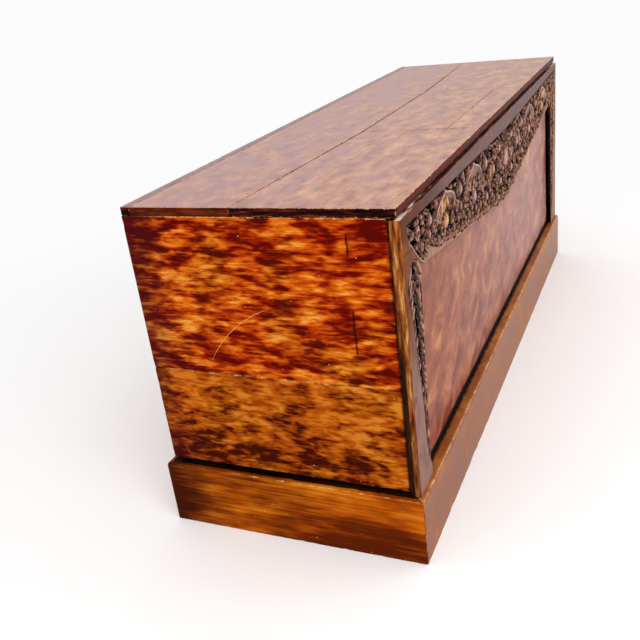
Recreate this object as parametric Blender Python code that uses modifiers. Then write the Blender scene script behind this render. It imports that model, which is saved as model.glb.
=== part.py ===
# Carved wooden chest on a mitred plinth, with a hatch in its top that swings on wooden pintles.
# Metres, +Z up. The origin is on the floor under the centre of the plinth, +X runs along the chest
# and the carved front faces -Y. The end at -X is the left end.

import math

import bmesh
import bpy
from mathutils import Matrix, Vector

# Clearance between pieces that touch
FIT = 0.0003

# Body: plain boards behind the carved front
BODY_LENGTH = 1.770
BODY_DEPTH = 0.560
BODY_HEIGHT = 0.547
END_THICKNESS = 0.020
BACK_THICKNESS = 0.018
PANEL_THICKNESS = 0.016
END_LOWER_WIDTH = 0.220
BACK_LOWER_WIDTH = 0.290
PANEL_LOWER_WIDTH = 0.262
CORNER_POST_SIDE = 0.028
BOARD_ARRIS = 0.0008

# Carved front: a frieze over two stiles, applied to the front panel
FRAME_THICKNESS = 0.020
FRIEZE_TOP_GAP = 0.003
FRIEZE_JOINT_DROP = 0.067
NECK_WIDTH = 0.056
SHOULDER_FROM_END = 0.150
SHOULDER_DROP = 0.127
SHOULDER_STEPS = 8
MIDDLE_DROP = 0.224
STILE_FOOT_WIDTH = 0.084
TAIL_WIDTH = 0.103
TAIL_WIDEST_DROP = 0.150
TAIL_TOP_DROP = 0.084
TAIL_STEPS = 8

# Plinth
PLINTH_HEIGHT = 0.149
PLINTH_GAP = 0.010
PLINTH_THICKNESS = 0.030
PLINTH_PROUD_FRONT = 0.009
PLINTH_PROUD_REAR = 0.013
PLINTH_PROUD_END = 0.016
PLINTH_ROUND = 0.006
PLINTH_ROUND_STEPS = 3
LEDGER_WIDTH = 0.034
LEDGER_HEIGHT = 0.040
CORNER_BLOCK_SIDE = 0.060
CORNER_BLOCK_LIFT = 0.006

# Bottom
BOTTOM_THICKNESS = 0.016
BOTTOM_BOARDS = ("front", "middle", "rear")
BATTEN_HEIGHT = 0.025
BATTEN_WIDTH = 0.050
BOTTOM_BATTENS = 4

# Top
TOP_THICKNESS = 0.0175
TOP_SETBACK = 0.0065
TOP_ROUND = 0.0025
TOP_ROUND_STEPS = 2
REAR_STRIP_WIDTH = 0.022
REAR_LEDGER_SIDE = 0.024
SPLIT_AT_END = 0.322
SPLIT_AT_HATCH = 0.293
BEAM_SETBACK = 0.005
BEAM_WIDTH = 0.034
BEAM_HEIGHT = 0.038
BEAM_HOUSING_DEPTH = 0.008
CROSS_BEARER_WIDTH = 0.036
CROSS_BEARER_HEIGHT = 0.032

# Hatch
HATCH_LENGTH = 0.536
HATCH_SIDE_GAP = 0.0015
HATCH_REAR_GAP = 0.0025
HATCH_FRONT_BOARD = 0.0765
HATCH_REST_WIDTH = 0.018
HATCH_REST_HEIGHT = 0.020
HATCH_BATTEN_INSET = 0.050
HATCH_BATTEN_WIDTH = 0.040
HATCH_BATTEN_THICKNESS = 0.018
HATCH_BATTEN_END_GAP = 0.006
SWING_CLEARANCE = 0.003
PIVOT_INSET = 0.022
PINTLE_DIAMETER = 0.009
PINTLE_IN_HATCH = 0.030
PINTLE_IN_BOARD = 0.016
PINTLE_SIDES = 16

# Loose splines let into the edge joints
SPLINE_THICKNESS = 0.005
SPLINE_WIDTH = 0.022
SPLINE_END_MARGIN = 0.060

# Places that the sizes above give
plinth_length = BODY_LENGTH + 2 * PLINTH_PROUD_END
plinth_depth = PLINTH_PROUD_FRONT + BODY_DEPTH + PLINTH_PROUD_REAR
front_y = -plinth_depth / 2 + PLINTH_PROUD_FRONT
rear_y = front_y + BODY_DEPTH
left_x = -BODY_LENGTH / 2
right_x = BODY_LENGTH / 2
body_bottom = PLINTH_HEIGHT + PLINTH_GAP
body_top = body_bottom + BODY_HEIGHT
top_low = body_top + FIT
top_high = top_low + TOP_THICKNESS

panel_front = front_y + FRAME_THICKNESS + FIT
panel_rear = panel_front + PANEL_THICKNESS
back_front = rear_y - BACK_THICKNESS
inner_left = left_x + END_THICKNESS
inner_right = right_x - END_THICKNESS

plinth_inner_x = plinth_length / 2 - PLINTH_THICKNESS
plinth_inner_y = plinth_depth / 2 - PLINTH_THICKNESS
seat_height = body_bottom - FIT
batten_top = body_bottom + BATTEN_HEIGHT
bottom_top = batten_top + FIT + BOTTOM_THICKNESS

frieze_top = body_top - FRIEZE_TOP_GAP

top_front = front_y + TOP_SETBACK
split_end = front_y + SPLIT_AT_END
split_hatch = front_y + SPLIT_AT_HATCH
beam_front = split_hatch + BEAM_SETBACK
beam_rear = beam_front + BEAM_WIDTH
hatch_half = HATCH_LENGTH / 2
cross_x = hatch_half + HATCH_SIDE_GAP
hatch_rear = split_hatch - HATCH_REAR_GAP
hatch_joint = top_front + HATCH_FRONT_BOARD
pivot_y = hatch_rear - PIVOT_INSET
pivot_z = top_low + TOP_THICKNESS / 2
pivot_sweep = math.hypot(PIVOT_INSET, TOP_THICKNESS / 2)

# Lacquer colours and gloss: name to (linear colour, roughness)
FINISHES = {
    "amber lacquer": ((0.42, 0.15, 0.03), 0.30),
    "mauve brown lacquer": ((0.30, 0.16, 0.11), 0.35),
    "carved brown lacquer": ((0.17, 0.09, 0.06), 0.45),
    "tan lacquer": ((0.50, 0.31, 0.20), 0.35),
    "plain wood": ((0.42, 0.27, 0.14), 0.70),
}

for old in list(bpy.data.objects):
    bpy.data.objects.remove(old, do_unlink=True)
chest_parts = bpy.data.collections.new("carved_wooden_chest")
chest_cutters = bpy.data.collections.new("cutters")
bpy.context.scene.collection.children.link(chest_parts)
bpy.context.scene.collection.children.link(chest_cutters)


def make_axis(name, place):
    axis = bpy.data.objects.new(name, None)
    axis.location = place
    chest_parts.objects.link(axis)
    return axis


def make_material(name, finish):
    colour, roughness = FINISHES[finish]
    material = bpy.data.materials.new(name)
    material.use_nodes = True
    shader = material.node_tree.nodes["Principled BSDF"]
    shader.inputs["Base Color"].default_value = (*colour, 1.0)
    shader.inputs["Roughness"].default_value = roughness
    shader.inputs["Metallic"].default_value = 0.0
    return material


def mesh_from(name, shape):
    bmesh.ops.recalc_face_normals(shape, faces=shape.faces)
    mesh = bpy.data.meshes.new(name)
    shape.to_mesh(mesh)
    shape.free()
    return mesh


def add_part(name, mesh, finish, place, turn=(0.0, 0.0, 0.0), axis=None):
    part = bpy.data.objects.new(name, mesh)
    part.location = place
    part.rotation_euler = turn
    if axis:
        part.parent = axis
        part.location = Vector(place) - axis.location
    mesh.materials.append(make_material(name, finish))
    chest_parts.objects.link(part)
    return part


def add_cutter(name, mesh):
    cutter = bpy.data.objects.new(name, mesh)
    cutter.hide_render = True
    cutter.display_type = "WIRE"
    chest_cutters.objects.link(cutter)
    return cutter


def soften(part, width, steps):
    bevel = part.modifiers.new("soft edges", "BEVEL")
    bevel.width = width
    bevel.segments = steps
    bevel.limit_method = "ANGLE"


def cut(part, cutter):
    hole = part.modifiers.new(cutter.name, "BOOLEAN")
    hole.operation = "DIFFERENCE"
    hole.solver = "EXACT"
    hole.object = cutter


def board(name, low, high, finish, axis=None, edge=BOARD_ARRIS, edge_steps=1):
    low, high = Vector(low), Vector(high)
    shape = bmesh.new()
    bmesh.ops.create_cube(shape, size=1.0)
    bmesh.ops.scale(shape, vec=high - low, verts=shape.verts)
    part = add_part(name, mesh_from(name, shape), finish, (low + high) / 2, axis=axis)
    soften(part, edge, edge_steps)
    return part


def rod_along_x(name, centre, radius, length, sides):
    lying = Matrix.Translation(centre) @ Matrix.Rotation(math.pi / 2, 4, "Y")
    shape = bmesh.new()
    bmesh.ops.create_cone(
        shape, cap_ends=True, segments=sides, radius1=radius, radius2=radius, depth=length, matrix=lying)
    return mesh_from(name, shape)


def outline_board(name, outline, thickness, finish, place, turn=(0.0, 0.0, 0.0)):
    curve = bpy.data.curves.new(name, "CURVE")
    curve.dimensions = "2D"
    curve.fill_mode = "BOTH"
    curve.extrude = thickness / 2
    spline = curve.splines.new("POLY")
    spline.points.add(len(outline) - 1)
    for point, (across, up) in zip(spline.points, outline):
        point.co = (across, up, 0.0, 1.0)
    spline.use_cyclic_u = True
    drawn = bpy.data.objects.new(name + "_outline", curve)
    chest_cutters.objects.link(drawn)
    view = bpy.context.evaluated_depsgraph_get()
    flat = bpy.data.meshes.new_from_object(drawn.evaluated_get(view))
    bpy.data.objects.remove(drawn, do_unlink=True)
    shape = bmesh.new()
    shape.from_mesh(flat)
    bmesh.ops.remove_doubles(shape, verts=shape.verts, dist=FIT / 10)
    return add_part(name, mesh_from(name, shape), finish, place, turn)


def box_cutter(name, low, high):
    low, high = Vector(low), Vector(high)
    shape = bmesh.new()
    bmesh.ops.create_cube(shape, size=1.0)
    bmesh.ops.scale(shape, vec=high - low, verts=shape.verts)
    bmesh.ops.translate(shape, vec=(low + high) / 2, verts=shape.verts)
    return add_cutter(name, mesh_from(name, shape))


def spline_joint(name, boards, low, high, axis=None):
    board(name, low, high, "plain wood", axis)
    clear = Vector((FIT, FIT, FIT))
    groove = box_cutter(name + "_groove", Vector(low) - clear, Vector(high) + clear)
    for grooved in boards:
        cut(grooved, groove)


# Plinth: four mitred rails, rounded along their upper outer edge
def plinth_rail(name, length, place, turn, finish):
    shape = bmesh.new()
    bmesh.ops.create_cube(shape, size=1.0)
    rail_size = Vector((length - 2 * FIT, PLINTH_THICKNESS, PLINTH_HEIGHT))
    bmesh.ops.scale(shape, vec=rail_size, verts=shape.verts)
    for corner in shape.verts:
        if corner.co.y > 0:
            corner.co.x -= math.copysign(PLINTH_THICKNESS, corner.co.x)
    upper_edge = [
        edge for edge in shape.edges
        if all(corner.co.y < 0 and corner.co.z > 0 for corner in edge.verts)]
    bmesh.ops.bevel(
        shape, geom=upper_edge, offset=PLINTH_ROUND, offset_type="OFFSET", affect="EDGES",
        segments=PLINTH_ROUND_STEPS, profile=0.5, material=-1)
    add_part(name, mesh_from(name, shape), finish, place, (0.0, 0.0, turn))


def build_plinth():
    rail_y = (plinth_depth - PLINTH_THICKNESS) / 2
    rail_x = (plinth_length - PLINTH_THICKNESS) / 2
    rail_z = PLINTH_HEIGHT / 2
    quarter = math.pi / 2
    plinth_rail("plinth_front_rail", plinth_length, (0, -rail_y, rail_z), 0, "mauve brown lacquer")
    plinth_rail("plinth_back_rail", plinth_length, (0, rail_y, rail_z), 2 * quarter, "amber lacquer")
    plinth_rail("plinth_left_rail", plinth_depth, (-rail_x, 0, rail_z), -quarter, "amber lacquer")
    plinth_rail("plinth_right_rail", plinth_depth, (rail_x, 0, rail_z), quarter, "amber lacquer")

    ledger_low = seat_height - LEDGER_HEIGHT
    ledger_x = plinth_inner_x - FIT
    ledger_y = plinth_inner_y - FIT
    between_y = ledger_y - LEDGER_WIDTH - FIT
    for side, name in ((-1, "front"), (1, "back")):
        near, far = sorted((side * ledger_y, side * (ledger_y - LEDGER_WIDTH)))
        board(
            f"plinth_{name}_ledger", (-ledger_x, near, ledger_low),
            (ledger_x, far, seat_height), "plain wood")
    for side, name in ((-1, "left"), (1, "right")):
        near, far = sorted((side * ledger_x, side * (ledger_x - LEDGER_WIDTH)))
        board(
            f"plinth_{name}_ledger", (near, -between_y, ledger_low),
            (far, between_y, seat_height), "plain wood")

    for place in range(1, BOTTOM_BATTENS - 1):
        centre = batten_centres()[place]
        board(
            f"plinth_bearer_{place}", (centre - BATTEN_WIDTH / 2, -between_y, ledger_low),
            (centre + BATTEN_WIDTH / 2, between_y, seat_height), "plain wood")

    block_top = ledger_low - FIT
    for side_x, name_x in ((-1, "left"), (1, "right")):
        block_x = sorted((side_x * ledger_x, side_x * (ledger_x - CORNER_BLOCK_SIDE)))
        for side_y, name_y in ((-1, "front"), (1, "rear")):
            block_y = sorted((side_y * ledger_y, side_y * (ledger_y - CORNER_BLOCK_SIDE)))
            board(
                f"plinth_corner_block_{name_y}_{name_x}", (block_x[0], block_y[0], CORNER_BLOCK_LIFT),
                (block_x[1], block_y[1], block_top), "plain wood")


# Body: two boards each for the ends, the back and the front panel, splined edge to edge
def two_board_wall(name, low, high, lower_width, finish):
    joint = body_bottom + lower_width
    lower = board(f"{name}_lower_board", low, (high[0], high[1], joint - FIT / 2), finish)
    upper = board(f"{name}_upper_board", (low[0], low[1], joint + FIT / 2), high, finish)
    reach = [(high[0] - low[0]) / 2, (high[1] - low[1]) / 2]
    long_way = 0 if reach[0] > reach[1] else 1
    reach[long_way] -= SPLINE_END_MARGIN
    reach[1 - long_way] = SPLINE_THICKNESS / 2
    centre = Vector(((low[0] + high[0]) / 2, (low[1] + high[1]) / 2, joint))
    half = Vector((*reach, SPLINE_WIDTH / 2))
    spline_joint(f"{name}_spline", (lower, upper), centre - half, centre + half)
    return upper


def build_body():
    ends = {}
    for name, low_x, high_x in (("left", left_x, inner_left), ("right", inner_right, right_x)):
        ends[name] = two_board_wall(
            f"{name}_end", (low_x, panel_front, body_bottom), (high_x, rear_y, body_top),
            END_LOWER_WIDTH, "amber lacquer")
    two_board_wall(
        "back", (inner_left + FIT, back_front, body_bottom), (inner_right - FIT, rear_y, body_top),
        BACK_LOWER_WIDTH, "amber lacquer")
    two_board_wall(
        "front_panel", (inner_left + FIT, panel_front, body_bottom),
        (inner_right - FIT, panel_rear, body_top), PANEL_LOWER_WIDTH, "mauve brown lacquer")

    for side, side_name in ((-1, "left"), (1, "right")):
        outer = side * (inner_right - FIT)
        post_x = sorted((outer, outer - side * CORNER_POST_SIDE))
        front_low = panel_rear + FIT
        rear_high = back_front - FIT
        for depth_name, post_y in (
                ("front", (front_low, front_low + CORNER_POST_SIDE)),
                ("rear", (rear_high - CORNER_POST_SIDE, rear_high))):
            board(
                f"corner_post_{depth_name}_{side_name}", (post_x[0], post_y[0], bottom_top + FIT),
                (post_x[1], post_y[1], body_top), "plain wood")
    return ends


# Carved front: outlines are drawn from the left end and from the frieze's top.
# The frieze's lower edge curves down to a shoulder and then runs straight to its lowest point in the middle
def frieze_lower_edge():
    half = [(0.0, -FRIEZE_JOINT_DROP)]
    for step in range(SHOULDER_STEPS + 1):
        share = step / SHOULDER_STEPS
        fall = (SHOULDER_DROP - FRIEZE_JOINT_DROP) * math.sin(math.pi / 2 * share)
        half.append((NECK_WIDTH + (SHOULDER_FROM_END - NECK_WIDTH) * share, -FRIEZE_JOINT_DROP - fall))
    middle = (BODY_LENGTH / 2, -MIDDLE_DROP)
    return half + [middle] + [(BODY_LENGTH - across, up) for across, up in reversed(half)]


def stile_outline():
    foot = PLINTH_HEIGHT + FIT - frieze_top
    top = -FRIEZE_JOINT_DROP - FIT
    outline = [(0.0, top), (0.0, foot)]
    tail_height = -TAIL_WIDEST_DROP - foot
    for step in range(TAIL_STEPS + 1):
        share = step / TAIL_STEPS
        outline.append((
            STILE_FOOT_WIDTH + (TAIL_WIDTH - STILE_FOOT_WIDTH) * share ** 1.3, foot + tail_height * share))
    for step in range(1, TAIL_STEPS + 1):
        share = step / TAIL_STEPS
        across = NECK_WIDTH + (TAIL_WIDTH - NECK_WIDTH) * (1 + math.cos(math.pi * share)) / 2
        outline.append((across, -TAIL_WIDEST_DROP + (TAIL_WIDEST_DROP - TAIL_TOP_DROP) * share))
    outline.append((NECK_WIDTH, top))
    return outline


def build_carved_front():
    upright = (math.pi / 2, 0.0, 0.0)
    frame_middle = front_y + FRAME_THICKNESS / 2
    frieze = [(0.0, 0.0)] + frieze_lower_edge() + [(BODY_LENGTH, 0.0)]
    outline_board(
        "carved_frieze", frieze, FRAME_THICKNESS, "carved brown lacquer",
        (left_x, frame_middle, frieze_top), upright)
    left_stile = stile_outline()
    right_stile = [(-across, up) for across, up in reversed(left_stile)]
    outline_board(
        "carved_stile_left", left_stile, FRAME_THICKNESS, "carved brown lacquer",
        (left_x, frame_middle, frieze_top), upright)
    outline_board(
        "carved_stile_right", right_stile, FRAME_THICKNESS, "carved brown lacquer",
        (right_x, frame_middle, frieze_top), upright)


# Bottom: boards along the chest on battens that cross it
def batten_centres():
    reach = inner_right - FIT - BATTEN_WIDTH / 2
    return [-reach + 2 * reach * place / (BOTTOM_BATTENS - 1) for place in range(BOTTOM_BATTENS)]


def build_bottom():
    front, rear = panel_rear + FIT, back_front - FIT
    for place, centre in enumerate(batten_centres(), start=1):
        board(
            f"bottom_batten_{place}", (centre - BATTEN_WIDTH / 2, front, body_bottom),
            (centre + BATTEN_WIDTH / 2, rear, batten_top), "plain wood")
    width = (rear - front + FIT) / len(BOTTOM_BOARDS)
    for place, name in enumerate(BOTTOM_BOARDS):
        low_y = front + width * place
        board(
            f"bottom_board_{name}", (inner_left + FIT, low_y, batten_top + FIT),
            (inner_right - FIT, low_y + width - FIT, bottom_top), "plain wood")


# Top: fixed boards round the hatch, and what carries them
def build_top(ends):
    middle_z = (top_low + top_high) / 2
    strip_front = rear_y - REAR_STRIP_WIDTH
    rear_edge = strip_front - FIT
    rear_board = [
        (left_x, split_end), (-cross_x, split_hatch), (cross_x, split_hatch), (right_x, split_end),
        (right_x, rear_edge), (left_x, rear_edge)]
    left_board = [
        (left_x, top_front), (-cross_x, top_front), (-cross_x, hatch_rear), (left_x, split_end - FIT)]
    right_board = [(-across, along) for across, along in reversed(left_board)]
    fixed_boards = {}
    for name, outline in (
            ("top_rear_board", rear_board), ("top_front_left_board", left_board),
            ("top_front_right_board", right_board)):
        part = outline_board(name, outline, TOP_THICKNESS, "tan lacquer", (0, 0, middle_z))
        soften(part, TOP_ROUND, TOP_ROUND_STEPS)
        fixed_boards[name] = part
    board(
        "top_rear_strip", (left_x, strip_front, top_low), (right_x, rear_y, top_high), "tan lacquer",
        edge=TOP_ROUND, edge_steps=TOP_ROUND_STEPS)

    beam_low = body_top - BEAM_HEIGHT
    beam_half = inner_right + BEAM_HOUSING_DEPTH
    board(
        "top_beam", (-beam_half, beam_front, beam_low), (beam_half, beam_rear, body_top), "plain wood")
    housing = box_cutter(
        "beam_housing", (-beam_half - FIT, beam_front - FIT, beam_low - FIT),
        (beam_half + FIT, beam_rear + FIT, top_high))
    for end_board in ends.values():
        cut(end_board, housing)

    ledger_x = inner_right - CORNER_POST_SIDE - 2 * FIT
    ledger_rear = back_front - FIT
    board(
        "top_rear_ledger", (-ledger_x, ledger_rear - REAR_LEDGER_SIDE, body_top - REAR_LEDGER_SIDE),
        (ledger_x, ledger_rear, body_top), "plain wood")

    rest_rear = pivot_y - pivot_sweep - SWING_CLEARANCE
    for side, name in ((-1, "left"), (1, "right")):
        bearer_x = sorted((side * cross_x, side * (cross_x + CROSS_BEARER_WIDTH)))
        board(
            f"top_cross_bearer_{name}", (bearer_x[0], panel_rear + FIT, body_top - CROSS_BEARER_HEIGHT),
            (bearer_x[1], beam_front - FIT, body_top), "plain wood")
        rest_x = sorted((side * (cross_x - FIT), side * (cross_x - FIT - HATCH_REST_WIDTH)))
        board(
            f"hatch_rest_{name}", (rest_x[0], panel_rear + FIT, body_top - HATCH_REST_HEIGHT),
            (rest_x[1], rest_rear, body_top), "plain wood")
    return fixed_boards


# Hatch: two boards on battens, swinging on two pintles let into the fixed boards beside it
def build_hatch(fixed_boards):
    axis = make_axis("hatch_axis", (0.0, pivot_y, pivot_z))
    front_board = board(
        "hatch_front_board", (-hatch_half, top_front, top_low), (hatch_half, hatch_joint, top_high),
        "tan lacquer", axis, TOP_ROUND, TOP_ROUND_STEPS)
    rear_board = board(
        "hatch_rear_board", (-hatch_half, hatch_joint + FIT, top_low), (hatch_half, hatch_rear, top_high),
        "tan lacquer", axis, TOP_ROUND, TOP_ROUND_STEPS)
    spline_half = Vector((hatch_half - SPLINE_END_MARGIN, SPLINE_WIDTH / 2, SPLINE_THICKNESS / 2))
    spline_centre = Vector((0.0, hatch_joint + FIT / 2, pivot_z))
    spline_joint(
        "hatch_spline", (front_board, rear_board),
        spline_centre - spline_half, spline_centre + spline_half, axis)

    batten_high = top_low - FIT
    batten_low = batten_high - HATCH_BATTEN_THICKNESS
    batten_front = panel_rear + HATCH_BATTEN_END_GAP
    batten_rear = pivot_y - PINTLE_DIAMETER
    pintle_length = PINTLE_IN_HATCH + HATCH_SIDE_GAP + PINTLE_IN_BOARD
    bore_radius = PINTLE_DIAMETER / 2 + FIT
    for side, name in ((-1, "left"), (1, "right")):
        outer = side * (hatch_half - HATCH_BATTEN_INSET)
        batten_x = sorted((outer, outer - side * HATCH_BATTEN_WIDTH))
        board(
            f"hatch_batten_{name}", (batten_x[0], batten_front, batten_low),
            (batten_x[1], batten_rear, batten_high), "plain wood", axis)
        pintle_x = side * (hatch_half - PINTLE_IN_HATCH + pintle_length / 2)
        pintle = rod_along_x(
            f"hatch_pintle_{name}", (pintle_x, 0, 0), PINTLE_DIAMETER / 2, pintle_length, PINTLE_SIDES)
        pintle.shade_smooth()
        pintle.set_sharp_from_angle(angle=math.radians(40))
        add_part(f"hatch_pintle_{name}", pintle, "plain wood", axis.location, axis=axis)
        bore = rod_along_x(
            f"pintle_bore_{name}", (pintle_x, pivot_y, pivot_z), bore_radius, pintle_length + 2 * FIT,
            PINTLE_SIDES)
        bore_cutter = add_cutter(f"pintle_bore_{name}", bore)
        cut(rear_board, bore_cutter)
        cut(fixed_boards[f"top_front_{name}_board"], bore_cutter)


build_plinth()
end_boards = build_body()
build_carved_front()
build_bottom()
top_boards = build_top(end_boards)
build_hatch(top_boards)
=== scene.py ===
import math
import random

import bmesh
import bpy
from mathutils import Matrix, Vector, noise
from mathutils.bvhtree import BVHTree
from mathutils.kdtree import KDTree


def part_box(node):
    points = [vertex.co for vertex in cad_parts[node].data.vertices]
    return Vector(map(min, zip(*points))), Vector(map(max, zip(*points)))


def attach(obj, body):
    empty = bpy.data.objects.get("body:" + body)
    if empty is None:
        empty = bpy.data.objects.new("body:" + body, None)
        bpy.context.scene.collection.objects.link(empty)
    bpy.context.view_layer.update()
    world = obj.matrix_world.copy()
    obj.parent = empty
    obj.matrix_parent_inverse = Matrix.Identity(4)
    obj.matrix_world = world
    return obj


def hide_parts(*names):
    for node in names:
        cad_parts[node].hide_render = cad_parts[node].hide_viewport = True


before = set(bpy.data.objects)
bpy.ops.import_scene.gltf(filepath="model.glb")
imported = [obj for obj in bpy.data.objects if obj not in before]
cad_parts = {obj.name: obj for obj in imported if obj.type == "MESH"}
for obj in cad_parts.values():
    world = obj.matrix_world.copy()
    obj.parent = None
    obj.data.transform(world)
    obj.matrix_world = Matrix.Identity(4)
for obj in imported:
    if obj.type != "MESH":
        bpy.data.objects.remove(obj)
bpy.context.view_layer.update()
print("frame loaded:", len(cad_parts), "nodes")

mm = 0.001


# colour as written in sRGB hex, turned to linear
def linear(hexColour):
    channels = [int(hexColour[i:i + 2], 16) / 255 for i in (1, 3, 5)]
    return tuple(c / 12.92 if c <= 0.04045 else ((c + 0.055) / 1.055) ** 2.4 for c in channels) + (1.0,)


# fills or links a node's inputs, by name or in order; a node given as a value is linked from its first output in use
def fill(tree, node, inputs):
    for socket, value in inputs.items() if isinstance(inputs, dict) else enumerate(inputs):
        if isinstance(value, bpy.types.Node):
            value = next(output for output in value.outputs if output.enabled)
        if isinstance(value, bpy.types.NodeSocket):
            tree.links.new(value, node.inputs[socket])
        else:
            node.inputs[socket].default_value = value


# adds one node, sets its fields and fills its inputs; stops are a ramp's places and colours
def addNode(tree, kind, inputs=(), stops=(), **settings):
    node = tree.nodes.new("ShaderNode" + kind)
    for field, value in settings.items():
        setattr(node, field, value)
    fill(tree, node, inputs)
    if stops:
        while len(node.color_ramp.elements) < len(stops):
            node.color_ramp.elements.new(0.5)
        for element, (place, colour) in zip(node.color_ramp.elements, stops):
            element.position = place
            element.color = linear(colour)
    return node


def newMaterial(name, sockets):
    material = bpy.data.materials.new(name)
    material.use_nodes = True
    tree = material.node_tree
    shader = tree.nodes["Principled BSDF"]
    fill(tree, shader, sockets)
    return material, tree, shader, addNode(tree, "TexCoord").outputs["Object"]


# noise drawn out along one axis; look is mm across, detail, roughness, twist and how far that axis is squeezed
def drawnNoise(tree, spot, along, look, shift=(0.0, 0.0, 0.0)):
    size, detail, rough, twist, squeeze = look
    scale = [1.0, 1.0, 1.0]
    scale[along] = squeeze
    drawn = addNode(tree, "Mapping", {"Vector": spot, "Location": shift, "Scale": scale})
    cloud = addNode(tree, "TexNoise", {"Vector": drawn, "Scale": 1 / (size * mm), "Detail": detail, "Roughness": rough,
                                       "Distortion": twist})
    return cloud, drawn


def product(tree, value, *others):
    for other in others:
        value = addNode(tree, "Math", [value, other], operation="MULTIPLY")
    return value


# two tones as one, with the second one's share
def blend(tree, first, second, share):
    return addNode(tree, "Math", [second, share, product(tree, first, 1 - share)], operation="MULTIPLY_ADD")


# each shade is an axis, from and to in metres, and how much lighter, or darker below 0, the tone gets between them
def addShades(tree, tone, split, shades):
    for axis, begin, end, amount in shades:
        shade = addNode(tree, "MapRange", [split.outputs[axis], begin, end, 0.0, amount])
        tone = addNode(tree, "Math", [tone, shade], operation="ADD")
    return tone


# small dots; look is mm apart, and the range that turns the way from a dot's middle into its cover
def specks(tree, spot, look):
    cells = addNode(tree, "TexVoronoi", {"Vector": spot, "Scale": 1 / (look[0] * mm)})
    return addNode(tree, "MapRange", [cells.outputs["Distance"], *look[1:]])


# where lacquer is rubbed off at the arrises; look is the noise's mm, detail, roughness and how ragged it makes them
def wornEdge(tree, spot, look, begin, end, most=1.0):
    size, detail, rough, ragged = look
    near = addNode(tree, "Attribute", attribute_name="edgeNear").outputs["Fac"]
    chip = addNode(tree, "TexNoise", {"Vector": spot, "Scale": 1 / (size * mm), "Detail": detail, "Roughness": rough})
    uneven = addNode(tree, "Math", [chip, ragged, near], operation="MULTIPLY_ADD")
    return addNode(tree, "MapRange", [uneven, begin, end, 0.0, most]), chip


# painted shade and grime, from a point attribute set on the front panel and the plinth rails
def shadeAndGrimeCover(tree, look):
    dirtAndShade = addNode(tree, "Attribute", attribute_name="shadeAndGrime").outputs["Fac"]
    return addNode(tree, "MapRange", [dirtAndShade, *look])


# lays covers of (share of the surface, colour) over a colour in turn, then sets the shine and the fine relief
def finishSurface(tree, shader, colour, covers, shiny, gloss, height, bump):
    for share, over in covers:
        over = linear(over) if isinstance(over, str) else over
        colour = addNode(tree, "Mix", {0: share, 6: colour, 7: over}, data_type="RGBA")
    relief = addNode(tree, "Bump", {"Height": height, "Strength": bump[0], "Distance": bump[1]})
    rough = addNode(tree, "MapRange", [shiny, *gloss])
    fill(tree, shader, {"Base Color": colour, "Roughness": rough, "Normal": relief})


# planes of the carved front from its face to its rear, its left end and its upper edge
front = {"face": -0.282, "ground": -0.2705, "rear": -0.262, "left": -0.885, "topEdge": 0.703}

lacquerBend = 1.5       # index of refraction

amber = {
    "upper": [(0.10, "#580702"), (0.23, "#751302"), (0.37, "#952704"), (0.50, "#B04006"), (0.63, "#C4560A"),
              (0.78, "#D5701A"), (0.92, "#E49240")],
    "lower": [(0.10, "#3E0C01"), (0.22, "#5E1B02"), (0.35, "#853304"), (0.50, "#9C4306"), (0.68, "#AF530A"),
              (0.88, "#C36D1D")],
    "plinth": [(0.14, "#5C1F04"), (0.30, "#7E3105"), (0.46, "#A04706"), (0.62, "#BB5E0B"), (0.82, "#D27D22")],
    "brown": [(0.14, "#3A1203"), (0.32, "#642A04"), (0.48, "#96500A"), (0.64, "#B56A13"), (0.84, "#D28D36")],
    # the last two colours: painted shade in the corner behind the stile, also used for the dark scuffs, and painted
    # shade and grime under the body
    "worn": "#DDA868", "rear": "#45090F", "plinthRear": "#340C04", "corner": "#140503", "shadeAndGrime": "#0B0403",
    # mm across the grain of the clouds, the patches, the spots in them and the brush streaks
    "upperSizes": (100, 24, 7.0, 2.6), "lowerSizes": (90, 22, 7.0, 2.6), "plinthSizes": (90, 30, 9.0, 6.0),
    "backSizes": (130, 60, 14.0, 5.0),
    # for each of these: times longer than wide, detail, twist, share of the tone, softness of its edges
    "layers": [(1.8, 2, 0.3, 0.21, 0.34), (2.4, 2, 0.3, 0.32, 0.11), (3.8, 2, 0.2, 0.26, 0.15),
               (30.0, 3, 0.0, 0.21, 0.36)],
    "plinthLayers": [(3.0, 2, 0.2, 0.42, 0.30), (5.0, 2, 0.1, 0.14, 0.15), (6.0, 2, 0.1, 0.12, 0.20),
                     (40.0, 3, 0.0, 0.32, 0.38)],
    "rough": 0.5, "contrast": 1.6, "shine": 0.01, "hueSize": 120, "chips": (17, 5, 0.7, 0.4), "bareFade": 0.05,
    "bareMost": 0.9, "flecks": (26, 0.035, 0.055, 0.85, 0.0),
    # ranges: from and to, and what they become
    "turn": (0.48, 0.66, 0.0, 0.5), "rearRange": (-0.1, 0.7, 0.0, 0.9), "shadedAndSoiled": (0.3, 0.6, 0.0, 0.97),
    "cornerShadeCover": (0.95, 0.0), "gloss": (0.2, 0.8, 0.26, 0.40), "bump": (0.25, 1.2 * mm),
    "upperShade": [(2, 0.60, 0.71, -0.11), (1, -0.16, -0.27, -0.07), (2, 0.49, 0.39, -0.06)],
    "lowerShade": [(2, 0.33, 0.20, -0.09), (2, 0.29, 0.34, 0.05), (1, 0.10, -0.20, 0.03)],
    "plinthShade": [(2, 0.095, 0.055, -0.12)],
    "scratch": {"middle": (-0.1037, 0.2709), "radius": 0.2733, "from": -0.015, "to": 0.141, "fade": 0.03,
                "lowest": 0.379, "wide": 0.9 * mm, "colour": "#E0A060"},
    # y, lowest and highest z of dark upright scuffs
    "marks": [(-0.183, 0.637, 0.680), (-0.181, 0.448, 0.535)], "markWave": 6 * mm,
    "markRange": (3.0 * mm, 0.8 * mm), "markMost": 0.85,
}


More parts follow.
